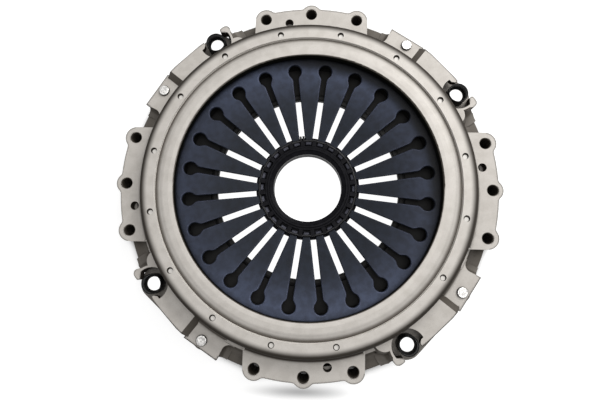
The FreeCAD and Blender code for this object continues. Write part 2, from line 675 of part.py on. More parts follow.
def strap_washer():
    """Washer under the strap pack, at the rivet's tail."""
    low = STRAP_BOTTOM_Z - WASHER_THICKNESS
    washer = turned([(RIVET_R + FIT_GAP, low), (WASHER_R, low, -0.4), (WASHER_R, STRAP_BOTTOM_Z),
                     (RIVET_R + FIT_GAP, STRAP_BOTTOM_Z)])
    washer.translate(spot(STRAP_RIVET_R, STRAP_RIVET_CLOCK))
    return washer


def tube_rivet():
    """Tubular rivet: a barrel with a thin inner lip on the straps, a spigot and a flared tail in the lug."""
    low = LUG_BOTTOM_Z
    lip_low = TUBE_LIP_Z - TUBE_LIP_THICKNESS
    tube = turned([
        (TUBE_TAIL_BORE_R, low), (TUBE_SPIGOT_R + TUBE_FLARE, low), (TUBE_SPIGOT_R, low + TUBE_FLARE),
        (TUBE_SPIGOT_R, STRAP_TOP_Z), (TUBE_R, STRAP_TOP_Z), (TUBE_R, TUBE_TOP_Z, -0.6),
        (TUBE_COUNTERBORE_R, TUBE_TOP_Z, -0.4), (TUBE_COUNTERBORE_R, TUBE_LIP_Z),
        (TUBE_LIP_R, TUBE_LIP_Z), (TUBE_LIP_R, lip_low), (TUBE_TAIL_BORE_R - 0.6, STRAP_TOP_Z),
    ])
    tube.translate(spot(LUG_CIRCLE_R, LUG_CLOCK))
    return tube


def lock_wire_z():
    """Height of the lock wire's centre, on top of the fingertips."""
    slope = math.cos(math.radians(FINGER_SLOPE))
    return spring_top(LOCK_WIRE_R) + (LOCK_WIRE_THICKNESS_R + RELEASE_TIP_GAP) / slope


def release_ring():
    """Ring that lifts the fingertips, with a tab in every slot and the bearing's bore."""
    tip_in = spring_bottom(SPRING_TIP_R) - RELEASE_TIP_GAP
    tip_out = spring_bottom(RELEASE_FLANGE_R) - RELEASE_TIP_GAP
    seat_z = collar_seat_z()
    ring = turned([
        (BORE_R, RELEASE_BOTTOM_Z, -1.0), (RELEASE_FLANGE_R, RELEASE_BOTTOM_Z, -3.0),
        (RELEASE_FLANGE_R, tip_out, -0.5),
        (SPRING_TIP_R, tip_in), (RELEASE_BARREL_R, tip_in), (RELEASE_BARREL_R, seat_z),
        (COLLAR_INNER_R, seat_z), (COLLAR_INNER_R, BARREL_TOP_Z + COLLAR_RISE, -0.4),
        (BORE_R, BARREL_TOP_Z, -0.4),
    ])
    tab_top = lock_wire_z() + TAB_RISE - LOCK_WIRE_THICKNESS_R
    tab = radial_bar(RELEASE_BARREL_R - 0.5, TAB_R, TAB_WIDTH, tip_in - 1.0, tab_top, FINGER_STEP / 2.0)
    tabs = pattern(tab, FINGER_COUNT)
    wire_groove = Part.makeTorus(LOCK_WIRE_R, LOCK_WIRE_THICKNESS_R + WIRE_GAP, V(0, 0, lock_wire_z()))
    clear = rod(RELEASE_BARREL_R - WIRE_GAP, seat_z, tab_top + 1.0)
    clear = clear.cut(rod(COLLAR_INNER_R, 0, tab_top + 2.0))
    groove_r = BORE_R + BEARING_GROOVE_DEPTH
    groove = rod(groove_r, BEARING_GROOVE_Z, BEARING_GROOVE_Z + BEARING_GROOVE_WIDTH)
    return ring.fuse(tabs).cut([wire_groove, clear, groove])


def collar_seat_z():
    """Height of the ledge that the collar sits on."""
    return BARREL_TOP_Z + COLLAR_RISE - COLLAR_HEIGHT


def collar():
    """Stepped wear collar on the release ring's barrel."""
    low = collar_seat_z()
    high = BARREL_TOP_Z + COLLAR_RISE
    outer = RELEASE_BARREL_R - 2 * WIRE_GAP
    middle = (COLLAR_INNER_R + outer) / 2.0
    return turned([
        (COLLAR_INNER_R + FIT_GAP, low), (outer, low), (outer, high - 0.6, -0.4), (middle + 0.8, high - 0.6),
        (middle, high + 0.6, -0.4), (COLLAR_INNER_R + FIT_GAP, high + 0.6, -0.4),
    ])


def lock_wire():
    """Round wire over the fingertips; its two ends are bent outwards side by side."""
    z = lock_wire_z()
    gap_clock = -FINGER_STEP / 2.0
    start = gap_clock + LOCK_WIRE_GAP_DEGREES / 2.0
    section = Part.Face(Part.Wire(Part.makeCircle(LOCK_WIRE_THICKNESS_R, V(LOCK_WIRE_R, 0, z), V(0, 1, 0))))
    section.rotate(ORIGIN, AXIS, 90.0 - start)
    arc = section.revolve(ORIGIN, AXIS, -(360.0 - LOCK_WIRE_GAP_DEGREES))
    outwards = spot(1.0, gap_clock, math.tan(math.radians(FINGER_SLOPE)))
    ends = []
    for clock in (start, start - LOCK_WIRE_GAP_DEGREES):
        place = spot(LOCK_WIRE_R, clock, z)
        ends.append(Part.makeCylinder(LOCK_WIRE_THICKNESS_R, LOCK_WIRE_TAIL, place, outwards))
        ends.append(Part.makeSphere(LOCK_WIRE_THICKNESS_R, place))
    return arc.fuse(ends)


def assembly():
    """Every node of the part and its shape."""
    nodes = {
        "cover_housing": cover_housing(),
        "fulcrum_wire": fulcrum_wire(),
        "diaphragm_spring": diaphragm_spring(),
        "pressure_plate": pressure_plate(),
        "cover_rivets": Part.makeCompound(pattern(cover_rivet(), QUARTERS)),
        "strap_washers": Part.makeCompound(pattern(strap_washer(), QUARTERS)),
        "release_ring": release_ring(),
        "wear_collar": collar(),
        "lock_wire": lock_wire(),
    }
    leaves = strap_leaves()
    tube = tube_rivet()
    for i in range(QUARTERS):
        for j, leaf in enumerate(leaves):
            nodes["drive_strap_%d_leaf_%d" % (i + 1, j + 1)] = turn(leaf, i * QUARTER)
        nodes["lug_tube_rivet_%d" % (i + 1)] = turn(tube, i * QUARTER)
    return nodes


os.makedirs("parts", exist_ok=True)
for name, shape in assembly().items():
    shape.exportStep("parts/%s.step" % name)
    print("%-22s solids %d  volume %.0f mm3" % (name, len(shape.Solids), shape.Volume))
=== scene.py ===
# %% [markdown]
# Clutch cover assembly of a heavy truck, pull type, for a 430 mm disc.
# The real unit is a cast iron cover that holds a pressure plate, a diaphragm
# spring with 24 fingers, and a black release ring at the fingertips. Its shape
# and its joints come from the CAD frame. This lesson dresses that frame: it
# finishes every surface with node materials, and rebuilds the two kinds of
# piece that bend, the diaphragm spring and the drive strap leaves.

# %% Load the frame
import math

import bmesh
import bpy
from mathutils import Matrix, Vector
from mathutils.geometry import interpolate_bezier


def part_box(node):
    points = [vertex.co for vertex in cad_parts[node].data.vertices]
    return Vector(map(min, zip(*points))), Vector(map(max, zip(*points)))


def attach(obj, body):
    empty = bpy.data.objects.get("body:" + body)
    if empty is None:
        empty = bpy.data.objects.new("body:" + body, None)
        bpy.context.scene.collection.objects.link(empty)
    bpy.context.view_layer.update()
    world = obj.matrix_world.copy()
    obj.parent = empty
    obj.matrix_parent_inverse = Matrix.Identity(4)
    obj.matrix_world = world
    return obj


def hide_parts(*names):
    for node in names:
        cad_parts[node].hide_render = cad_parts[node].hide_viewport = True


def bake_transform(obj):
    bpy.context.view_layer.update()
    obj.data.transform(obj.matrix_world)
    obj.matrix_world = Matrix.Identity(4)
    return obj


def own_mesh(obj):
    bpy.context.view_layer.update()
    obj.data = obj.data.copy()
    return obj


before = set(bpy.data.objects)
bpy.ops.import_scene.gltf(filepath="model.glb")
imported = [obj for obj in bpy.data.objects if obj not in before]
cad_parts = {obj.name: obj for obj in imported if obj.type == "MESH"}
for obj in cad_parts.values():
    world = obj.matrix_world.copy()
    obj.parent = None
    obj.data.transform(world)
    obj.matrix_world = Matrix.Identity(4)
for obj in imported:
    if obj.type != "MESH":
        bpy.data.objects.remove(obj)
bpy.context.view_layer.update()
MM = 0.001
QUARTERS = 4


def mm(*sizes):
    """Sizes in millimetres, as a tuple in metres."""
    return tuple(size * MM for size in sizes)


# %% [markdown]
# The photograph looks almost straight down on the cover from about half a
# metre, so the perspective is strong: near walls lean outwards in the picture.
# A camera could be placed by eye. This one was fitted to the twelve bolt holes
# instead, so its place, its three small turns and its focal length are all
# real measures of that view.

# %% Camera
CAMERA_PLACE = (0.0078, -0.0819, 0.5649)
CAMERA_TILT = math.radians(7.051)
CAMERA_LEAN = math.radians(1.807)
CAMERA_ROLL = math.radians(1.435)
PHOTO_WIDTH = 600
PHOTO_FOCAL = 433.4
SENSOR_WIDTH = 36.0

camera_data = bpy.data.cameras.new("camera")
camera_data.sensor_width = SENSOR_WIDTH
camera_data.lens = PHOTO_FOCAL / PHOTO_WIDTH * SENSOR_WIDTH
camera = bpy.data.objects.new("camera", camera_data)
camera.location = CAMERA_PLACE
camera.rotation_mode = "ZXY"
camera.rotation_euler = (CAMERA_TILT, CAMERA_LEAN, CAMERA_ROLL)
bpy.context.scene.collection.objects.link(camera)
bpy.context.scene.camera = camera
print("lens in mm", round(camera_data.lens, 1))


# %% [markdown]
# Every material here is made of shader nodes. Writing each node out in full
# hides the idea behind the wiring, so one small helper adds a node with its
# inputs, and a few more name the sums that a material needs again and again.

# %% Node helpers
def add(tree, kind, inputs=None, **settings):
    """New shader node. An input that is a socket is linked, and any other value is set."""
    made = tree.nodes.new("ShaderNode" + kind)
    for name, value in settings.items():
        setattr(made, name, value)
    for name, value in (inputs or {}).items():
        if isinstance(value, bpy.types.NodeSocket):
            tree.links.new(value, made.inputs[name])
        else:
            made.inputs[name].default_value = value
    return made


def calc(tree, operation, a, b=0.0):
    """Result of a calculation with one or two numbers."""
    return add(tree, "Math", {0: a, 1: b}, operation=operation).outputs[0]


def product(tree, first, *others):
    """Product of two or more masks or values."""
    result = first
    for other in others:
        result = calc(tree, "MULTIPLY", result, other)
    return result


def vector(tree, operation, a, b=(0.0, 0.0, 0.0)):
    """Result of a sum or product of two vectors, such as points or colours."""
    return add(tree, "VectorMath", {0: a, 1: b}, operation=operation).outputs["Vector"]


def measure(tree, operation, a, b=(0.0, 0.0, 0.0)):
    """Length of a vector, or the distance or dot product of two."""
    return add(tree, "VectorMath", {0: a, 1: b}, operation=operation).outputs["Value"]


def mix(tree, factor, a, b, blend="MIX"):
    """Colour between a and b."""
    made = add(tree, "Mix", {0: factor, 6: a, 7: b}, data_type="RGBA", blend_type=blend)
    return made.outputs[2]


print("node helpers ready")


# %% [markdown]
# A mask is a value from 0 to 1 that says where a finish lies. A soft step is
# kinder than a hard limit, because a hard one shows as a jagged line. All the
# masks here are made of such steps along a height, a radius or a direction, so
# the same few helpers serve every material.

# %% Soft steps
def between(tree, value, low, high, start=0.0, end=1.0):
    """Soft step: start below low, end above high, and a smooth change between them."""
    limits = {"Value": value, "From Min": low, "From Max": high, "To Min": start, "To Max": end}
    return add(tree, "MapRange", limits, interpolation_type="SMOOTHSTEP").outputs[0]


def rising(tree, value, limits, top=1.0):
    """0 below the two limits, top above them."""
    return between(tree, value, *limits, 0.0, top)


def falling(tree, value, limits, top=1.0):
    """Top below the two limits, 0 above them."""
    return between(tree, value, *limits, top, 0.0)


def switch(tree, mask, off, on):
    """Value off where a mask is 0, and on where it is 1."""
    return between(tree, mask, 0.0, 1.0, off, on)


print("soft steps ready")


# %% Places on the object
LUG_RADIUS, LUG_CLOCK = 223 * MM, math.radians(56.6)
PLAN = (1.0, 1.0, 0.0)


def point_in_part(tree):
    """Point on the surface, in the object's own frame."""
    return tree.nodes.new("ShaderNodeTexCoord").outputs["Object"]


def height_in_part(tree):
    """Height of a point in the object's own frame."""
    return add(tree, "SeparateXYZ", {0: point_in_part(tree)}).outputs["Z"]


def radius_in_part(tree):
    """Distance of a point from the object's axis."""
    return measure(tree, "LENGTH", vector(tree, "MULTIPLY", point_in_part(tree), PLAN))


def from_nearest_lug(tree, point):
    """Distance in plan from the nearest of the four lug centres."""
    flat = vector(tree, "MULTIPLY", point, PLAN)
    nearest = 1.0
    for quarter in range(QUARTERS):
        clock = LUG_CLOCK + quarter * math.pi / 2
        centre = (LUG_RADIUS * math.sin(clock), LUG_RADIUS * math.cos(clock), 0.0)
        nearest = calc(tree, "MINIMUM", measure(tree, "DISTANCE", flat, centre), nearest)
    return nearest


print("lug centres at radius", round(LUG_RADIUS / MM), "mm")


# %% [markdown]
# Five effects turn up on more than one finish. Cast iron and blasted steel
# have a pebbly grain and cloudy mottling. Turned faces have fine rings about
# the axis. One effect finds the faces that look up, and walls get cast skin
# and painted shade. Another finds corners, which get painted shade. Handling
# polishes sharp edges. Each effect is one node group that gives plain masks,
# and every material mixes its own colours with them. A painted picture could
# show the same wear, but it would need to be unwrapped for every piece, and
# these groups fit any shape.

# %% Group helpers
def effect(name, inputs, outputs):
    """Empty node group with named value sockets, and its two end nodes."""
    tree = bpy.data.node_groups.new(name, "ShaderNodeTree")
    kind = "NodeSocketFloat"
    for socket, default in inputs.items():
        made = tree.interface.new_socket(socket, in_out="INPUT", socket_type=kind)
        made.default_value = default
    for socket in outputs:
        tree.interface.new_socket(socket, in_out="OUTPUT", socket_type=kind)
    ins = tree.nodes.new("NodeGroupInput").outputs
    return tree, ins, tree.nodes.new("NodeGroupOutput").inputs


def place(tree, group, **values):
    """Effect placed in a material with its own values; returns its outputs."""
    made = tree.nodes.new("ShaderNodeGroup")
    made.node_tree = group
    for name, value in values.items():
        made.inputs[name].default_value = value
    return made.outputs


print("group helpers ready")


# %% Effect: cast grain
CLOUD_SHARE = 0.11


def noise(tree, point, scale, detail, roughness):
    """Value of a cloudy noise at a point."""
    inputs = {"Vector": point, "Scale": scale, "Detail": detail, "Roughness": roughness}
    return add(tree, "TexNoise", inputs).outputs["Fac"]


cast_grain, ins, outs = effect("cast_grain", {"Size": 0.0015}, ["Grain", "Mottle"])
here = point_in_part(cast_grain)
fine = calc(cast_grain, "DIVIDE", 1.0, ins["Size"])
coarse = product(cast_grain, fine, CLOUD_SHARE)
grain = noise(cast_grain, here, fine, detail=4.0, roughness=0.6)
cloud = noise(cast_grain, here, coarse, detail=3.0, roughness=0.5)
cast_grain.links.new(grain, outs["Grain"])
cast_grain.links.new(cloud, outs["Mottle"])
print("cast_grain: pebbles and clouds")


# %% Effect: turned rings
turned_rings, ins, outs = effect("turned_rings", {"Pitch": 0.0006}, ["Rings"])
turns = calc(turned_rings, "DIVIDE", radius_in_part(turned_rings), ins["Pitch"])
line_inputs = {"W": turns, "Scale": 1.0, "Detail": 3.0, "Roughness": 0.7}
lines = add(turned_rings, "TexNoise", line_inputs, noise_dimensions="1D").outputs["Fac"]
turned_rings.links.new(lines, outs["Rings"])
print("turned_rings: lines at a constant radius")


# %% Effect: faces that look up
facing_up, ins, outs = effect("facing_up", {"Low": 0.5, "High": 0.95}, ["Up"])
normal = facing_up.nodes.new("ShaderNodeNewGeometry").outputs["Normal"]
upwards = add(facing_up, "SeparateXYZ", {0: normal}).outputs["Z"]
facing_up.links.new(between(facing_up, upwards, ins["Low"], ins["High"]), outs["Up"])
print("facing_up: 1 on level faces, 0 on walls")


# %% Effect: corners, for painted shade
corners, ins, outs = effect("corners", {"Reach": 0.012}, ["Open"])
shade = add(corners, "AmbientOcclusion", {"Distance": ins["Reach"]}, samples=6).outputs["AO"]
corners.links.new(shade, outs["Open"])
print("corners: 0 deep in a corner, 1 in the open")


# %% Effect: polished edges
NEAR_EDGE = (0.985, 0.9)

edges, ins, outs = effect("edges", {"Width": 0.0008}, ["Edge"])
plain = edges.nodes.new("ShaderNodeNewGeometry").outputs["Normal"]
rounded = add(edges, "Bevel", {"Radius": ins["Width"]}, samples=4).outputs["Normal"]
same = measure(edges, "DOT_PRODUCT", plain, rounded)
edges.links.new(rising(edges, same, NEAR_EDGE), outs["Edge"])
print("edges: 1 where a sharp edge is near")


# %% [markdown]
# The stage is a plain pale floor under soft studio light. The photograph has
# a white background, so the floor and the world look white to the camera and
# in reflections, through the Light Path node, while their light on the object
# stays that of a pale grey room. Stronger lamps would make the floor white too,
# but they would bleach the object.

# %% World
SKY_LIGHT = 0.30
WHITE = (1.0, 1.0, 1.0, 1.0)


def seen(tree):
    """1 for camera, glossy and transmission rays, and 0 for light on the object."""
    path = tree.nodes.new("ShaderNodeLightPath").outputs
    mirror = calc(tree, "MAXIMUM", path["Is Glossy Ray"], path["Is Transmission Ray"])
    return calc(tree, "MAXIMUM", path["Is Camera Ray"], mirror)


world = bpy.data.worlds.new("studio")
world.use_nodes = True
bpy.context.scene.world = world
sky = world.node_tree
background = sky.nodes["Background"].inputs
background["Color"].default_value = WHITE
sky.links.new(switch(sky, seen(sky), SKY_LIGHT, 1.0), background["Strength"])
print("light of the world on the object", SKY_LIGHT)


# %% [markdown]
# The photograph's floor shows three things. It is white, with hardly any shade
# close to the object. One soft grey patch lies beyond the lower edge, and no
# lamp of this scene would cast it there, so the floor's material paints it, a
# painted shadow. Through the bore, the slots and the tube rivets it is pure
# white. So the floor glows by a mask: less near the object, as painted shade,
# less in the patch, as a painted shadow, and fully below the openings, as
# painted light. A part of its white is plain diffuse shading, which keeps the
# real shadow.

# %% Floor glow
FLOOR_GLOW = 0.74
CONTACT_REACH, CONTACT_SHADE = 13 * MM, (0.5, 1.0)
BORE_SPOT, LUG_SPOT = mm(124, 128), mm(15, 17)
PAINTED_SHADOW_SHIFT = (0.004, 0.2529, 0.0)
PAINTED_SHADOW_SCALE = (12.0, 85.0, 1.0)
PAINTED_SHADOW_TONE = 0.45

floor_paint = bpy.data.materials.new("floor_paint")
floor_paint.use_nodes = True
tree = floor_paint.node_tree
tree.nodes.clear()
here = point_in_part(tree)
near = add(tree, "AmbientOcclusion", {"Distance": CONTACT_REACH}, samples=8).outputs["AO"]
# Painted light: the floor glows fully below the bore and the tube rivets, where the object shades
# it.
painted_light_below_bore = falling(tree, measure(tree, "LENGTH", here), BORE_SPOT)
painted_light_below_tube = falling(tree, from_nearest_lug(tree, here), LUG_SPOT)
painted_light_below_openings = calc(tree, "MAXIMUM", painted_light_below_bore, painted_light_below_tube)
# Painted shadow: a soft grey patch on the floor beyond the lower edge.
in_painted_shadow = vector(tree, "MULTIPLY", vector(tree, "ADD", here, PAINTED_SHADOW_SHIFT), PAINTED_SHADOW_SCALE)
painted_shadow = switch(tree, measure(tree, "LENGTH", in_painted_shadow), PAINTED_SHADOW_TONE, 1.0)
# Painted shade: the glow fades where ambient occlusion finds the object close above the floor.
glow = calc(tree, "MAXIMUM", rising(tree, near, CONTACT_SHADE, FLOOR_GLOW), painted_light_below_openings)
glow = product(tree, glow, painted_shadow)
print(floor_paint.name, "nodes", len(tree.nodes))


# %% Floor
FLOOR_SIZE = 8.0
FLOOR_SHADED = (0.46, 0.46, 0.46)
TABLE_GREY = (0.30, 0.29, 0.28, 1.0)

glowing = add(tree, "Emission", {"Color": WHITE, "Strength": glow}).outputs[0]
# The painted shadow darkens the floor's diffuse colour too.
shade_tone = vector(tree, "MULTIPLY", FLOOR_SHADED, painted_shadow)
shaded = add(tree, "BsdfDiffuse", {"Color": shade_tone}).outputs[0]
white_floor = add(tree, "AddShader", {0: glowing, 1: shaded}).outputs[0]
table = add(tree, "BsdfDiffuse", {"Color": TABLE_GREY}).outputs[0]
surface = add(tree, "MixShader", {0: seen(tree), 1: table, 2: white_floor}).outputs[0]
add(tree, "OutputMaterial", {"Surface": surface})

bpy.ops.mesh.primitive_plane_add(size=FLOOR_SIZE)
floor = bpy.context.object
floor.name = "floor"
floor.data.materials.append(floor_paint)
print("floor at z = 0, side", FLOOR_SIZE, "m")


# %% [markdown]
# A large soft lamp stands beyond the top right of the picture and a second one
# hangs over the cover. Level faces then shine softly, most at the top, and
# walls stay dark, as they do in the photograph. Small lamps would give hard
# shadows that it doesn't have. The powers are set so that a colour renders
# about as it is written.

# %% Lamps
def soft_lamp(name, location, aim, width, length, power, tint):
    """Area lamp that points at a place."""
    data = bpy.data.lights.new(name, "AREA")
    data.shape = "RECTANGLE"
    data.size = width
    data.size_y = length
    data.energy = power
    data.color = tint
    lamp = bpy.data.objects.new(name, data)
    lamp.location = location
    towards = Vector(aim) - Vector(location)
    lamp.rotation_euler = towards.to_track_quat("-Z", "Y").to_euler()
    bpy.context.scene.collection.objects.link(lamp)
    return lamp


soft_lamp("far_window", (0.75, 0.85, 1.05), aim=(0, 0.05, 0), width=1.1, length=0.7,
          power=17.5, tint=(1.0, 0.99, 0.97))
soft_lamp("overhead_box", (0.15, 0.10, 1.50), aim=(0, 0, 0), width=0.9, length=0.9,
          power=8.5, tint=(1.0, 0.99, 0.98))


# %% [markdown]
# Every material starts with one Principled node. A value that is the same all
# over the surface is set on that node's own socket, because other programs
# read it there. Only what changes over the surface is wired to it. A finish
# also has relief too small to model, such as pebbles, and a Bump node makes
# that.

# %% Material helpers
def finish(name, metallic, roughness, specular=0.5):
    """New material; returns it, its tree and its Principled node."""
    material = bpy.data.materials.new(name)
    material.use_nodes = True
    tree = material.node_tree
    shader = tree.nodes["Principled BSDF"]
    shader.inputs["Metallic"].default_value = metallic
    shader.inputs["Roughness"].default_value = roughness
    shader.inputs["Specular IOR Level"].default_value = specular
    return material, tree, shader


def bump(tree, shader, height, depth):
    """Raises the surface by height times depth."""
    inputs = {"Height": height, "Distance": depth, "Strength": 1.0}
    tree.links.new(add(tree, "Bump", inputs).outputs[0], shader.inputs["Normal"])


print("material helpers ready")


# %% [markdown]
# The cover is grey cast iron that was shot-blasted, with its two top rings
# turned on a lathe. Level faces are a clean warm grey. The walls keep their
# brown cast skin, darkened further by painted shade, and corners, the rim, the
# lip and the drillings get more painted shade, while the groove wall and the
# drilling floors get painted light. It could be split into several
# materials, but their borders would be hard lines, so one material makes all
# of it from masks: first the zones of the casting, then its colours, then its
# relief.

# %% Cover: zones by radius and height
FLANGE_TOP_Z = mm(38.5, 41.0)
RIM_WALL_R = mm(190.5, 198.5)
RIM_FOOT_START_R, RIM_FOOT_R, RIM_FOOT_SHADE = mm(196.0, 198.5), mm(198.5, 203.5), 0.55
SHOULDER_R, SHOULDER_END_R, SHOULDER_SHADE = mm(175.5, 181.8), mm(181.8, 182.1), 0.45
OUTER_EDGE_R, OUTER_EDGE_Z = mm(229.5, 230.8), mm(20.0, 24.0)
GROOVE_START_R, GROOVE_END_R, GROOVE_Z = mm(182.0, 182.4), mm(183.6, 184.2), mm(55.5, 56.0)
LIP_R, LIP_Z = mm(160.3, 161.0), mm(58.5, 60.0)
BLASTED_Z = mm(12.0, 28.5)
RING_TOPS_Z = mm(54.0, 56.0)
WALL_LEAN = (0.3, 0.7)

cover_cast, tree, shader = finish("cover_cast", 0.2, 0.6, 0.3)
here = point_in_part(tree)
height = height_in_part(tree)
radius = radius_in_part(tree)
level = place(tree, facing_up, Low=0.72, High=0.985)["Up"]
blasted = product(tree, level, rising(tree, height, BLASTED_Z))
turned = product(tree, rising(tree, height, RING_TOPS_Z), blasted)
# Painted shade on the rim's outer wall over its cast skin, at the rim's foot, and on the inner
# ring's outer shoulder.
rim_wall_skin_and_shade = product(tree, rising(tree, radius, RIM_WALL_R), rising(tree, height, FLANGE_TOP_Z))
painted_foot_shade = product(tree, falling(tree, radius, RIM_FOOT_R, RIM_FOOT_SHADE),
                   rising(tree, radius, RIM_FOOT_START_R))
painted_shoulder_shade = product(tree, rising(tree, radius, SHOULDER_R, SHOULDER_SHADE),
                   falling(tree, radius, SHOULDER_END_R))
# Painted shadow: near black on the lip's wall and below it.
painted_lip_shadow = product(tree, falling(tree, radius, LIP_R), falling(tree, height, LIP_Z))
# Painted light: the groove's outer wall is lightened where it lies in shade.
painted_light_on_groove_wall = product(tree, rising(tree, radius, GROOVE_START_R), falling(tree, radius, GROOVE_END_R),
                 rising(tree, height, GROOVE_Z), falling(tree, level, WALL_LEAN))
print("zones of the cover: nodes", len(tree.nodes))


# %% [markdown]
# The outer ring has fifteen shallow drillings. The CAD shape has them too, but
# the photograph's light makes a bright dot on each floor and a dark wall above
# it, and the soft lamps here don't. Two masks paint both: a painted highlight on
# the floor and painted shade on the wall. The remainder of the clock angle
# repeats one place all round the circle, so fifteen separate masks aren't
# needed. They act only below the ring's top face, so the one place without a
# drilling stays plain.

# %% Cover: blind drillings
DRILL_CIRCLE, DRILL_STEP = 189 * MM, 2 * math.pi / 16
DRILL_DOT, DRILL_WALL, DRILL_SOFT = mm(2.9, 4.0, 0.4)
DRILL_DOT_SHIFT = mm(-0.2, 0.8, 0.0)
DRILL_Z = mm(59.2, 59.6)


def diagonal(tree, a, b):
    """Long side of a right triangle."""
    return calc(tree, "SQRT", calc(tree, "ADD", product(tree, a, a), product(tree, b, b)))


def drilled(tree, point, reach):
    """Mask of the drillings: 1 within reach of a centre and below the ring's top."""
    x, y, z = add(tree, "SeparateXYZ", {0: point}).outputs
    away = diagonal(tree, x, y)
    clock = calc(tree, "ADD", calc(tree, "ARCTAN2", x, y), 2 * math.pi)
    turn = calc(tree, "SUBTRACT", calc(tree, "MODULO", clock, DRILL_STEP), DRILL_STEP / 2)
    sideways = product(tree, turn, away)
    outwards = calc(tree, "SUBTRACT", away, DRILL_CIRCLE)
    inside = falling(tree, diagonal(tree, sideways, outwards), (reach - DRILL_SOFT, reach))
    return product(tree, inside, falling(tree, z, DRILL_Z))


# Painted highlight on each drilling's floor and painted shade on its wall.
painted_highlight_dot = drilled(tree, vector(tree, "ADD", here, DRILL_DOT_SHIFT), DRILL_DOT)
painted_shade_wall = drilled(tree, here, DRILL_WALL)
print("drillings every", round(math.degrees(DRILL_STEP), 1), "degrees")


# %% Cover: clean iron, cast skin, worn edges and painted outlines
CLEAN_IRON = (0.50, 0.475, 0.445, 1.0)
CLOUDY_IRON = (0.45, 0.425, 0.395, 1.0)
SPECKLE = (0.38, 0.355, 0.325, 1.0)
CAST_SKIN_AND_SHADE = (0.085, 0.074, 0.062, 1.0)
SKIN_AND_DEEP_SHADE = (0.040, 0.035, 0.030, 1.0)
OUTLINE_SHADE = (0.10, 0.092, 0.082, 1.0)
WORN_EDGE_AND_DOT_HIGHLIGHT = (0.62, 0.60, 0.57, 1.0)
CLOUDS, PEBBLES = (0.35, 0.7), (0.5, 0.75)
BRIGHT_EDGE_Z = mm(44.0, 50.0)

grain = place(tree, cast_grain, Size=0.0014)
edge = place(tree, edges, Width=0.0007)["Edge"]
outer_edge = place(tree, edges, Width=0.0032)["Edge"]
top_face = mix(tree, rising(tree, grain["Mottle"], CLOUDS), CLEAN_IRON, CLOUDY_IRON)
top_face = mix(tree, rising(tree, grain["Grain"], PEBBLES, 0.5), top_face, SPECKLE)
# Walls get cast skin, made darker as painted shade; level faces get clean iron.
colour = mix(tree, blasted, CAST_SKIN_AND_SHADE, top_face)
# Edges: lower ones get a painted shade outline, upper ones are paler from wear.
edge_wear_and_shade = mix(tree, rising(tree, height, BRIGHT_EDGE_Z), OUTLINE_SHADE, WORN_EDGE_AND_DOT_HIGHLIGHT)
colour = mix(tree, product(tree, edge, 0.5), colour, edge_wear_and_shade)
# Painted shade: a dark outline along the cover's outer edges.
painted_outline_shade = product(tree, rising(tree, radius, OUTER_EDGE_R), rising(tree, height, OUTER_EDGE_Z),
                  outer_edge)
colour = mix(tree, painted_outline_shade, colour, SKIN_AND_DEEP_SHADE)
print("clean iron and skin: nodes", len(tree.nodes))


# %% Cover: painted shade, painted light and details
CORNER_SHADE = (0.045, 0.038, 0.031, 1.0)
GROOVE_WALL_PAINTED_LIGHT = (0.75, 0.72, 0.68, 1.0)
LIP_SHADOW_BLACK = (0.004, 0.004, 0.003, 1.0)
DEEP_CORNER = (0.25, 0.95)
SPARED_SHARE = 0.75

# Painted shade in corners, found by ambient occlusion, weaker on level faces below the ring tops.
open_air = place(tree, corners, Reach=0.018)["Open"]
spared_level_faces = product(tree, blasted, falling(tree, height, RING_TOPS_Z, SPARED_SHARE))
painted_corner_shade = product(tree, falling(tree, open_air, DEEP_CORNER), calc(tree, "SUBTRACT", 1.0, spared_level_faces))
# Painted shade and painted light over the colours: corners, rim foot and shoulder, groove wall,
# rim wall, lip and drillings.
for mask, tone in (
    (painted_corner_shade, CORNER_SHADE),
    (calc(tree, "MAXIMUM", painted_foot_shade, painted_shoulder_shade), CAST_SKIN_AND_SHADE),
    (painted_light_on_groove_wall, GROOVE_WALL_PAINTED_LIGHT),
    (rim_wall_skin_and_shade, SKIN_AND_DEEP_SHADE),
    (painted_lip_shadow, LIP_SHADOW_BLACK),
    (painted_shade_wall, SKIN_AND_DEEP_SHADE),
    (painted_highlight_dot, WORN_EDGE_AND_DOT_HIGHLIGHT),
):
    colour = mix(tree, mask, colour, tone)
tree.links.new(colour, shader.inputs["Base Color"])
print("colours of the cover: nodes", len(tree.nodes))


# %% Cover: gloss and relief
# Less specular where shade is painted, so reflections don't lighten it.
dull_in_painted_shade = calc(tree, "MAXIMUM", painted_lip_shadow, rim_wall_skin_and_shade)
for mask in (painted_corner_shade, painted_shade_wall):
    dull_in_painted_shade = calc(tree, "MAXIMUM", dull_in_painted_shade, mask)
tree.links.new(switch(tree, dull_in_painted_shade, 0.3, 0.03), shader.inputs["Specular IOR Level"])
tree.links.new(switch(tree, turned, 0.64, 0.52), shader.inputs["Roughness"])
rings = place(tree, turned_rings, Pitch=0.0009)["Rings"]
pebbles = product(tree, grain["Grain"], switch(tree, turned, 1.0, 0.25))
lines = product(tree, rings, turned, 0.35)
bump(tree, shader, calc(tree, "ADD", pebbles, lines), 0.22 * MM)
print(cover_cast.name, "nodes", len(tree.nodes))


# %% [markdown]
# The pressure plate is a darker casting whose lower face is ground flat for
# the clutch disc. From above only its lugs and its inner edge show, and the
# photograph has them nearly black. The ground face can't be seen there, but
# the part is looked at from all sides, so a mask by height gives it bare metal
# with grinding lines.

# %% Plate: dark cast iron with a ground friction face
PLATE_SKIN = (0.006, 0.006, 0.006, 1.0)
PLATE_CLOUD = (0.011, 0.011, 0.011, 1.0)
GROUND_IRON = (0.42, 0.41, 0.40, 1.0)
FACE_Z = mm(1.4, 1.8)
GRIND_LINES = (0.3, 0.7)

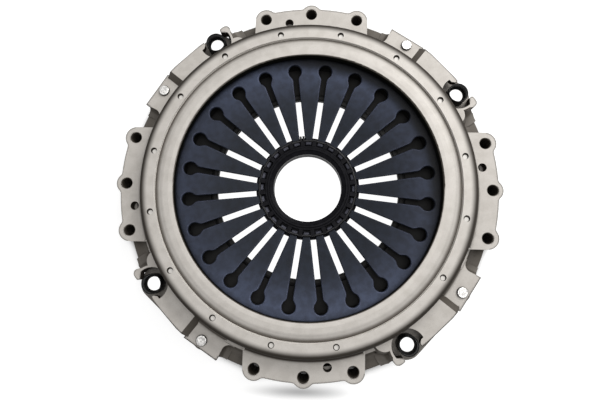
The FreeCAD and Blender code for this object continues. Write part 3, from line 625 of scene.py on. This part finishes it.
plate_cast, tree, shader = finish("plate_cast", 0.1, 0.6, 0.15)
grain = place(tree, cast_grain, Size=0.0016)
rings = place(tree, turned_rings, Pitch=0.0005)["Rings"]
face = falling(tree, height_in_part(tree), FACE_Z)
skin = mix(tree, rising(tree, grain["Mottle"], CLOUDS), PLATE_SKIN, PLATE_CLOUD)
ground = mix(tree, rising(tree, rings, GRIND_LINES, 0.35), GROUND_IRON, PLATE_CLOUD)
tree.links.new(mix(tree, face, skin, ground), shader.inputs["Base Color"])
tree.links.new(switch(tree, face, 0.62, 0.34), shader.inputs["Roughness"])
pebbles = product(tree, grain["Grain"], switch(tree, face, 1.0, 0.0))
lines = product(tree, rings, face, 0.2)
bump(tree, shader, calc(tree, "ADD", pebbles, lines), 0.2 * MM)
print(plate_cast.name, "nodes", len(tree.nodes))


# %% [markdown]
# The spring is hardened steel, shot-peened and blued, so it is a dark satin
# blue-grey, with a paler line where the keyhole edges were rounded, partly wear
# and partly painted highlight, and worn metal at the very tips. In the
# photograph it is paler near the rim, most at the top and the bottom, and it
# lies in deep shade under the cover's lip at the upper right. The soft lamps of
# this scene give too little of both, and harder lamps would spoil the cover, so
# masks by radius and direction paint the rest: a painted sheen and painted
# shade.

# %% Spring steel: tones and painted sheen
BLUED = (0.014, 0.017, 0.027, 1.0)
BLUED_PALE = (0.020, 0.025, 0.041, 1.0)
FINGER_TINT = (0.45, 0.47, 0.45, 1.0)
KEYHOLE_EDGE_WEAR_AND_HIGHLIGHT = (0.085, 0.095, 0.145, 1.0)
STEEL_CLOUDS = (0.3, 0.7)
FINGER_R = mm(95, 140)
SHEEN_WAY, SHEEN_SIDES = (0.5, 1.0), 0.85
SHEEN_R, SHEEN_ENDS = mm(110, 150), (1.0, 1.6)
RIM_SHEEN_R, RIM_SHEEN = mm(135, 158), (1.0, 1.45)

spring_steel, tree, shader = finish("spring_steel", 0.35, 0.45, 0.15)
here = point_in_part(tree)
radius = radius_in_part(tree)
grain = place(tree, cast_grain, Size=0.0009)
edge = place(tree, edges, Width=0.0020)["Edge"]
colour = mix(tree, rising(tree, grain["Mottle"], STEEL_CLOUDS), BLUED, BLUED_PALE)
colour = mix(tree, falling(tree, radius, FINGER_R), colour, FINGER_TINT, blend="MULTIPLY")
# Paler rounded edges: partly wear, partly painted highlight.
colour = mix(tree, product(tree, edge, 0.8), colour, KEYHOLE_EDGE_WEAR_AND_HIGHLIGHT)
# Painted sheen: paler near the rim, most at the top and the bottom.
y_size = calc(tree, "ABSOLUTE", add(tree, "SeparateXYZ", {0: here}).outputs["Y"])
ends = between(tree, radius, *SHEEN_R, *SHEEN_ENDS)
painted_sheen = between(tree, calc(tree, "DIVIDE", y_size, radius), *SHEEN_WAY, SHEEN_SIDES, ends)
painted_sheen = product(tree, between(tree, radius, *RIM_SHEEN_R, *RIM_SHEEN), painted_sheen)
colour = vector(tree, "MULTIPLY", colour, painted_sheen)
print("tones of the spring: nodes", len(tree.nodes))


# %% Spring steel: painted shade and tips
BLACK = (0.0, 0.0, 0.0, 1.0)
POLISHED_TIP = (0.042, 0.043, 0.056, 1.0)
IN_SHADE = (0.25, 0.80)
TO_WINDOW = (0.71, 0.71, 0.0)
LIP_SHADE_WAY, LIP_SHADE_R, LIP_SHADE = mm(30, 125), mm(141.5, 155.5), 0.9
TIP_R = mm(60.0, 61.2)
SATIN_GRAIN = (0.3, 0.7)

# Painted shade: black where ambient occlusion finds the cover close above.
open_air = place(tree, corners, Reach=0.024)["Open"]
colour = mix(tree, rising(tree, open_air, IN_SHADE), BLACK, colour)
# Painted shadow under the cover's lip, on the side towards the far window lamp.
to_window = measure(tree, "DOT_PRODUCT", here, TO_WINDOW)
painted_shadow_below_lip = product(tree, rising(tree, to_window, LIP_SHADE_WAY),
                    rising(tree, radius, LIP_SHADE_R), LIP_SHADE)
colour = mix(tree, painted_shadow_below_lip, colour, BLACK)
colour = mix(tree, falling(tree, radius, TIP_R), colour, POLISHED_TIP)
tree.links.new(colour, shader.inputs["Base Color"])
satin = between(tree, grain["Grain"], *SATIN_GRAIN, 0.38, 0.50)
tree.links.new(satin, shader.inputs["Roughness"])
bump(tree, shader, grain["Grain"], 0.06 * MM)
print(spring_steel.name, "nodes", len(tree.nodes))


# %% [markdown]
# The ring at the fingertips is black phosphated steel, the two wires are dark
# hardened wire, and the straps are plain rolled steel. They differ only in
# tone, gloss and grain, so one function makes all three, and a table of calls
# is easier to compare than three copies of the same nodes.

# %% Small steel parts
EDGE_WEAR, EDGE_LIGHT = 0.3, 2.2


def plain_steel(name, dark, pale, metallic, roughness, specular, size, depth):
    """Steel with a fine grain, clouds between two tones and paler worn edges."""
    material, tree, shader = finish(name, metallic, roughness, specular)
    grain = place(tree, cast_grain, Size=size)
    edge = place(tree, edges, Width=0.0005)["Edge"]
    colour = mix(tree, rising(tree, grain["Mottle"], STEEL_CLOUDS), (*dark, 1.0), (*pale, 1.0))
    worn = tuple(min(1.0, EDGE_LIGHT * c) for c in pale) + (1.0,)
    colour = mix(tree, product(tree, edge, EDGE_WEAR), colour, worn)
    tree.links.new(colour, shader.inputs["Base Color"])
    satin = between(tree, grain["Grain"], *SATIN_GRAIN, roughness - 0.06, roughness + 0.08)
    tree.links.new(satin, shader.inputs["Roughness"])
    bump(tree, shader, grain["Grain"], depth)
    print(name, "nodes", len(tree.nodes))
    return material


ring_steel = plain_steel("ring_steel", (0.0035, 0.0035, 0.0045), (0.007, 0.007, 0.009),
                         metallic=0.1, roughness=0.36, specular=0.04,
                         size=0.7 * MM, depth=0.04 * MM)
wire_steel = plain_steel("wire_steel", (0.005, 0.005, 0.006), (0.010, 0.010, 0.011),
                         metallic=0.2, roughness=0.34, specular=0.25,
                         size=0.6 * MM, depth=0.03 * MM)
strap_steel = plain_steel("strap_steel", (0.100, 0.092, 0.083), (0.150, 0.138, 0.125),
                          metallic=0.4, roughness=0.45, specular=0.3,
                          size=0.8 * MM, depth=0.04 * MM)


# %% [markdown]
# The cover rivets have hammered zinc domes that shine in patches, each with a
# dark line of painted shade round its foot. The line lies where the dome turns
# steep, so the mask of faces that look up finds it, and no extra ring has to be
# modelled.

# %% Cover rivets: bright domes with painted shade at the foot
DOME_PALE = (0.80, 0.79, 0.77, 1.0)
DOME_GREY = (0.42, 0.41, 0.40, 1.0)
DOME_FOOT_SHADE = (0.05, 0.047, 0.043, 1.0)
HAMMERED = (0.40, 0.62)

rivet_steel, tree, shader = finish("rivet_steel", 0.6, 0.30)
grain = place(tree, cast_grain, Size=0.0022)
colour = mix(tree, rising(tree, grain["Grain"], HAMMERED), DOME_PALE, DOME_GREY)
level = place(tree, facing_up, Low=0.80, High=0.93)["Up"]
# Painted shade: dark where the dome turns steep.
tree.links.new(mix(tree, level, DOME_FOOT_SHADE, colour), shader.inputs["Base Color"])
bump(tree, shader, grain["Grain"], 0.3 * MM)
print(rivet_steel.name, "nodes", len(tree.nodes))


# %% [markdown]
# The tube rivets are black outside and open right through. In the photograph
# they are white below their inner lip. Most of what shows there is the wall of
# the bore, so that wall is bright reamed metal. A mask picks it by its distance
# from the nearest lug and by its height, so the four rivets share one material
# and need no second one.

# %% Tube rivets: black outside, reamed bright below the inner lip
LINING_R = mm(10.5, 10.7)
LINING_Z = mm(27.1, 27.3)
TUBE_BLACK = (0.005, 0.005, 0.005, 1.0)
REAMED_STEEL = (0.90, 0.89, 0.87, 1.0)

tube_steel, tree, shader = finish("tube_steel", 0.1, 0.42, 0.15)
grain = place(tree, cast_grain, Size=0.0008)
inside = falling(tree, from_nearest_lug(tree, point_in_part(tree)), LINING_R)
lining = product(tree, inside, falling(tree, height_in_part(tree), LINING_Z))
tree.links.new(mix(tree, lining, TUBE_BLACK, REAMED_STEEL), shader.inputs["Base Color"])
tree.links.new(switch(tree, lining, 0.1, 1.0), shader.inputs["Metallic"])
tree.links.new(switch(tree, lining, 0.42, 0.14), shader.inputs["Roughness"])
bump(tree, shader, grain["Grain"], 0.03 * MM)
print(tube_steel.name, "nodes", len(tree.nodes))


# %% [markdown]
# The rigid pieces keep their CAD shapes, which already have the real bevels
# and fillets, so they only need a finish. The washers at the rivet tails are
# the same rolled steel as the straps, and the collar is as black as its ring.

# %% Finish of each CAD node
FINISHES = {
    "cover_housing": (cover_cast, "cover_cast"),
    "pressure_plate": (plate_cast, "plate_cast"),
    "fulcrum_wire": (wire_steel, "wire_steel"),
    "cover_rivets": (rivet_steel, "rivet_steel"),
    "strap_washers": (strap_steel, "strap_steel"),
    "release_ring": (ring_steel, "ring_steel"),
    "wear_collar": (ring_steel, "ring_steel"),
    "lock_wire": (wire_steel, "wire_steel"),
}
for quarter in range(QUARTERS):
    FINISHES["lug_tube_rivet_%d" % (quarter + 1)] = (tube_steel, "tube_steel")
for name, (material, slot) in FINISHES.items():
    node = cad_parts[name]
    node.data.materials.clear()
    node.data.materials.append(material)
print("dressed", len(FINISHES), "CAD nodes")


# %% [markdown]
# The diaphragm spring is one stamped disc. When the release ring lifts the
# fingertips, the whole cone flattens, so the CAD node can't show it and a new
# piece takes its place. Cutting 24 slots out of a cone would leave ragged
# faces. So it is made from one finger with its share of the rim: a flat
# outline, given thickness, rounded along its stamped edges, cut into rows so
# that it can take the shape of the cone, then turned round the axis 24 times
# and merged into one mesh.

# %% Spring sizes
FINGERS = 24
HALF_STEP = math.pi / FINGERS
SPRING_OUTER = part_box("diaphragm_spring")[1].x
SPRING_BEND = 134 * MM
SPRING_TIP = 55 * MM
TIP_Z = 27.6 * MM
THICKNESS = 4.6 * MM
RIM_SLOPE = math.tan(math.radians(7.0))
FINGER_SLOPE = math.tan(math.radians(10.6))


def spring_top(radius):
    """Height of the spring's upper side at a radius."""
    bend = TIP_Z + (min(radius, SPRING_BEND) - SPRING_TIP) * FINGER_SLOPE
    return bend + max(0.0, radius - SPRING_BEND) * RIM_SLOPE


print("spring outer radius in mm", round(SPRING_OUTER / MM, 1))


# %% One side of a slot
SLOT_HALF = 3.4 * MM
KEYHOLE = 8.2 * MM
KEYHOLE_PLACE = 146.3 * MM
KEYHOLE_STEPS = 16
SHOULDER = math.radians(40)
NECK_BLEND = 8 * MM
NECK_PULL, NECK_POINTS = 0.6, 6


def slot_side():
    """Points from the tip to the keyhole's end, as (off the slot's middle, from the axis)."""
    start = math.sqrt(SPRING_TIP ** 2 - SLOT_HALF ** 2)
    side = KEYHOLE * math.cos(SHOULDER)
    side_y = KEYHOLE_PLACE - KEYHOLE * math.sin(SHOULDER)
    corner = Vector((SLOT_HALF, side_y - (side - SLOT_HALF) / math.tan(SHOULDER)))
    reach = NECK_BLEND * math.tan(SHOULDER / 2)
    below = corner - Vector((0, reach))
    above = corner + Vector((math.sin(SHOULDER), math.cos(SHOULDER))) * reach
    handles = below.lerp(corner, NECK_PULL), above.lerp(corner, NECK_PULL)
    points = [(SLOT_HALF, start)]
    points += [(p.x, p.y) for p in interpolate_bezier(below, *handles, above, NECK_POINTS)]
    for i in range(KEYHOLE_STEPS + 1):
        angle = (math.pi / 2 + SHOULDER) * i / KEYHOLE_STEPS - SHOULDER
        points.append((KEYHOLE * math.cos(angle), KEYHOLE_PLACE + KEYHOLE * math.sin(angle)))
    return points


print("points on one side of a slot", len(slot_side()))


# %% Outline of one finger
RIM_STEPS, TIP_STEPS = 8, 6


def finger_outline():
    """Closed outline of one finger and its share of the rim; the finger lies along +Y."""
    along = Vector((math.sin(HALF_STEP), math.cos(HALF_STEP)))
    towards = Vector((-math.cos(HALF_STEP), math.sin(HALF_STEP)))
    right = [along * y + towards * max(s, 0.0) for s, y in slot_side()]
    arc = [HALF_STEP - i * HALF_STEP / (RIM_STEPS / 2) for i in range(RIM_STEPS + 1)]
    rim = [Vector((math.sin(a), math.cos(a))) * SPRING_OUTER for a in arc]
    left = [Vector((-p.x, p.y)) for p in reversed(right)]
    tip_span = math.atan2(right[0].x, right[0].y)
    tip = [-tip_span + 2 * tip_span * i / TIP_STEPS for i in range(1, TIP_STEPS)]
    nose = [Vector((math.sin(a), math.cos(a))) * SPRING_TIP for a in tip]
    return right + rim + left + nose


print("outline points of one finger", len(finger_outline()))


# %% [markdown]
# A stamped edge is never sharp, so the finger gets a rounded bevel along its
# outline. The edges where it will meet its neighbours stay as they are, and the
# walls between them are deleted: otherwise the finished disc would have hidden
# walls inside. The rows and columns of cuts make every face small enough to
# follow the cone and the bend in it.

# %% Helpers for cutting a mesh
SAME_PLACE, SAME_ANGLE, SAME_Z = 1e-6, 1e-5, 1e-7
WELD = 2e-6


def cut(bm, point, normal):
    """Cuts the whole mesh along a plane and keeps both sides."""
    geometry = bm.verts[:] + bm.edges[:] + bm.faces[:]
    bmesh.ops.bisect_plane(bm, geom=geometry, dist=SAME_PLACE, plane_co=point, plane_no=normal)


def vertices(geometry):
    """The vertices among the parts that a mesh operator gives back."""
    return [g for g in geometry if isinstance(g, bmesh.types.BMVert)]


def on_border(vertex):
    """True for a point on the line where two neighbours meet."""
    clock = abs(math.atan2(vertex.co.x, vertex.co.y))
    return abs(clock - HALF_STEP) < SAME_ANGLE


def is_stamped(edge):
    """True for a level edge that doesn't lie on a border."""
    a, b = edge.verts
    return abs(a.co.z - b.co.z) < SAME_Z and not (on_border(a) and on_border(b))


print("points closer than", WELD / MM, "mm are merged")


# %% One finger as a solid
STAMPED_EDGE, STAMPED_STEPS = 1.3 * MM, 3
ROW_STEP = 6 * MM
COLUMN_STEP, COLUMNS = math.radians(1.875), 3


def one_finger():
    """Finger and rim share with rounded edges, coned, and open where its neighbours join."""
    bm = bmesh.new()
    face = bm.faces.new([bm.verts.new((p.x, p.y, 0.0)) for p in finger_outline()])
    raised = vertices(bmesh.ops.extrude_face_region(bm, geom=[face])["geom"])
    bmesh.ops.translate(bm, vec=(0, 0, THICKNESS), verts=raised)
    stamped = [e for e in bm.edges if is_stamped(e)]
    bmesh.ops.bevel(bm, geom=stamped, offset=STAMPED_EDGE, segments=STAMPED_STEPS,
                    profile=0.5, affect="EDGES")
    walls = [f for f in bm.faces if all(on_border(v) for v in f.verts)]
    bmesh.ops.delete(bm, geom=walls, context="FACES")
    for i in range(1, int((SPRING_OUTER - SPRING_TIP) / ROW_STEP)):
        cut(bm, (0, SPRING_TIP + i * ROW_STEP, 0), (0, 1, 0))
    for i in range(-COLUMNS, COLUMNS + 1):
        cut(bm, (0, 0, 0), (math.cos(i * COLUMN_STEP), -math.sin(i * COLUMN_STEP), 0))
    for v in bm.verts:
        v.co.z += spring_top(math.hypot(v.co.x, v.co.y)) - THICKNESS
    return bm


bm = one_finger()
print("faces of one finger", len(bm.faces))


# %% [markdown]
# A mesh with rounded edges shades best when its large faces keep their own
# direction and only the narrow ones blend, which a Weighted Normal modifier
# does. Sharp edges could be marked by hand instead, but there are thousands.
# The finished disc rides on the cover and takes the place of the CAD spring.

# %% Helpers for a finished piece
FLAT_WEIGHT = 80


def keep_smooth(piece):
    """Smooth shading in which large faces keep their own direction."""
    piece.data.shade_smooth()
    weighted = piece.modifiers.new("weighted_normals", "WEIGHTED_NORMAL")
    weighted.weight = FLAT_WEIGHT
    weighted.keep_sharp = True


def piece_from(bm, name, material):
    """New smooth object from a mesh under construction."""
    mesh = bpy.data.meshes.new(name)
    bm.to_mesh(mesh)
    bm.free()
    mesh.materials.append(material)
    piece = bpy.data.objects.new(name, mesh)
    bpy.context.scene.collection.objects.link(piece)
    keep_smooth(piece)
    return piece


print("piece helpers ready")


# %% The whole spring
finger_geometry = bm.verts[:] + bm.edges[:] + bm.faces[:]
for i in range(1, FINGERS):
    copied = vertices(bmesh.ops.duplicate(bm, geom=finger_geometry)["geom"])
    turn = Matrix.Rotation(2 * i * HALF_STEP, 3, "Z")
    bmesh.ops.rotate(bm, cent=(0, 0, 0), matrix=turn, verts=copied)
bmesh.ops.remove_doubles(bm, verts=bm.verts[:], dist=WELD)
bmesh.ops.recalc_face_normals(bm, faces=bm.faces[:])
open_edges = sum(1 for e in bm.edges if len(e.link_faces) != 2)
spring = piece_from(bm, "diaphragm_spring_disc", spring_steel)
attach(spring, "cover")
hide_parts("diaphragm_spring")
print("spring faces", len(spring.data.polygons), "open edges", open_edges)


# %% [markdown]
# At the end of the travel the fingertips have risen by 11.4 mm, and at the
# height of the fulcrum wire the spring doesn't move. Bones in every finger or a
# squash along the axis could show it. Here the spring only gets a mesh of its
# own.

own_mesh(spring)


# %% [markdown]
# A drive strap pack is three flat leaves between a cover rivet and a lug of
# the plate. A leaf is a flat link with two holes, which a filled 2D curve makes
# with a thin rounded edge. Cuts across its length would let it bend smoothly
# from the cover to the plate. At the lug end these leaves reach 1.6 mm further
# than the CAD ones, to the hooked wall of the pocket, because the photograph
# shows them so.

# %% Leaf sizes
LEAVES = 3
LEAF, LEAF_EDGE = mm(1.3, 0.15)
PACK_BOTTOM_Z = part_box("drive_strap_1_leaf_1")[0].z
RIVET_RADIUS, RIVET_CLOCK = 225.5 * MM, math.radians(33.2)
RIVET_HOLE, LUG_HOLE = mm(5.05, 11.45)
RIVET_END, LUG_END, LUG_END_STEP = mm(13, 20, 0.9)


def at(radius, clock):
    """Point in plan at a radius and a clock angle."""
    return Vector((radius * math.sin(clock), radius * math.cos(clock)))


span = at(LUG_RADIUS, LUG_CLOCK) - at(RIVET_RADIUS, RIVET_CLOCK)
print("from rivet to lug in mm", round(span.length / MM, 1))


# %% Outline of a leaf
END_STEPS, HOLE_STEPS = 28, 32


def loop(curve, points):
    """Adds one closed outline to a flat curve."""
    spline = curve.splines.new("POLY")
    spline.points.add(len(points) - 1)
    for knot, p in zip(spline.points, points):
        knot.co = (p.x, p.y, 0.0, 1.0)
    spline.use_cyclic_u = True


def arc_points(centre, radius, start, end, steps):
    """Points on an arc, from angle start to angle end."""
    angles = [start + (end - start) * i / steps for i in range(steps + 1)]
    return [centre + Vector((math.cos(a), math.sin(a))) * radius for a in angles]


def leaf_curve(name, first, first_r, second, second_r):
    """Flat link between two round ends, with a hole in each."""
    curve = bpy.data.curves.new(name, "CURVE")
    curve.dimensions = "2D"
    curve.fill_mode = "BOTH"
    curve.extrude = LEAF / 2 - LEAF_EDGE
    curve.bevel_depth = LEAF_EDGE
    curve.bevel_resolution = 1
    curve.offset = -LEAF_EDGE
    along = second - first
    heading = math.atan2(along.y, along.x)
    lean = math.acos((first_r - second_r) / along.length)
    near_end = arc_points(first, first_r, heading + lean, heading - lean + 2 * math.pi, END_STEPS)
    far_end = arc_points(second, second_r, heading - lean, heading + lean, END_STEPS)
    loop(curve, far_end + near_end)
    for centre, hole in ((first, RIVET_HOLE), (second, LUG_HOLE)):
        loop(curve, arc_points(centre, hole + LEAF_EDGE, 0, 2 * math.pi, HOLE_STEPS)[:-1])
    return curve


print("points round a leaf", 2 * (END_STEPS + 1))


# %% A leaf as a mesh
LEAF_CUTS, CUT_REACH = 24, 1.3


def leaf_mesh(name, first, first_r, second, second_r, bottom):
    """Leaf with cuts across its length, its lower face at a height."""
    maker = bpy.data.objects.new(name, leaf_curve(name, first, first_r, second, second_r))
    bpy.context.scene.collection.objects.link(maker)
    evaluated = maker.evaluated_get(bpy.context.evaluated_depsgraph_get())
    mesh = bpy.data.meshes.new_from_object(evaluated)
    bpy.data.objects.remove(maker)
    bm = bmesh.new()
    bm.from_mesh(mesh)
    along = second - first
    for i in range(1, LEAF_CUTS):
        spot = first - along.normalized() * first_r + along * (CUT_REACH * i / LEAF_CUTS)
        cut(bm, (spot.x, spot.y, 0), (along.x, along.y, 0))
    bmesh.ops.remove_doubles(bm, verts=bm.verts[:], dist=WELD)
    bmesh.ops.translate(bm, vec=(0, 0, bottom + LEAF / 2), verts=bm.verts[:])
    return bm


print("cuts across a leaf", LEAF_CUTS - 1)


# %% [markdown]
# The three leaves of a pack lie on each other, and each is a little shorter at
# the lug than the one below, so that their ends show as steps. The plate moves
# and the cover doesn't, so a rigid leaf would come off one of them. Here each
# leaf is built in its place, and its CAD leaf is hidden.

# %% The twelve leaves
leaf_count = 0
for quarter in range(QUARTERS):
    turn_by = quarter * math.pi / 2
    rivet = at(RIVET_RADIUS, RIVET_CLOCK + turn_by)
    lug = at(LUG_RADIUS, LUG_CLOCK + turn_by)
    for storey in range(LEAVES):
        name = "strap_%d_leaf_%d" % (quarter + 1, storey + 1)
        lug_end = LUG_END - storey * LUG_END_STEP
        bottom = PACK_BOTTOM_Z + storey * LEAF
        bm = leaf_mesh(name, rivet, RIVET_END, lug, lug_end, bottom)
        leaf = piece_from(bm, name, strap_steel)
        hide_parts("drive_" + name)
        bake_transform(leaf)
        leaf_count += 1
print("strap leaves", leaf_count)


# %% [markdown]
# The view transform is Standard, so that a colour renders as it is written.

# %% Finish
bpy.context.scene.view_settings.view_transform = "Standard"
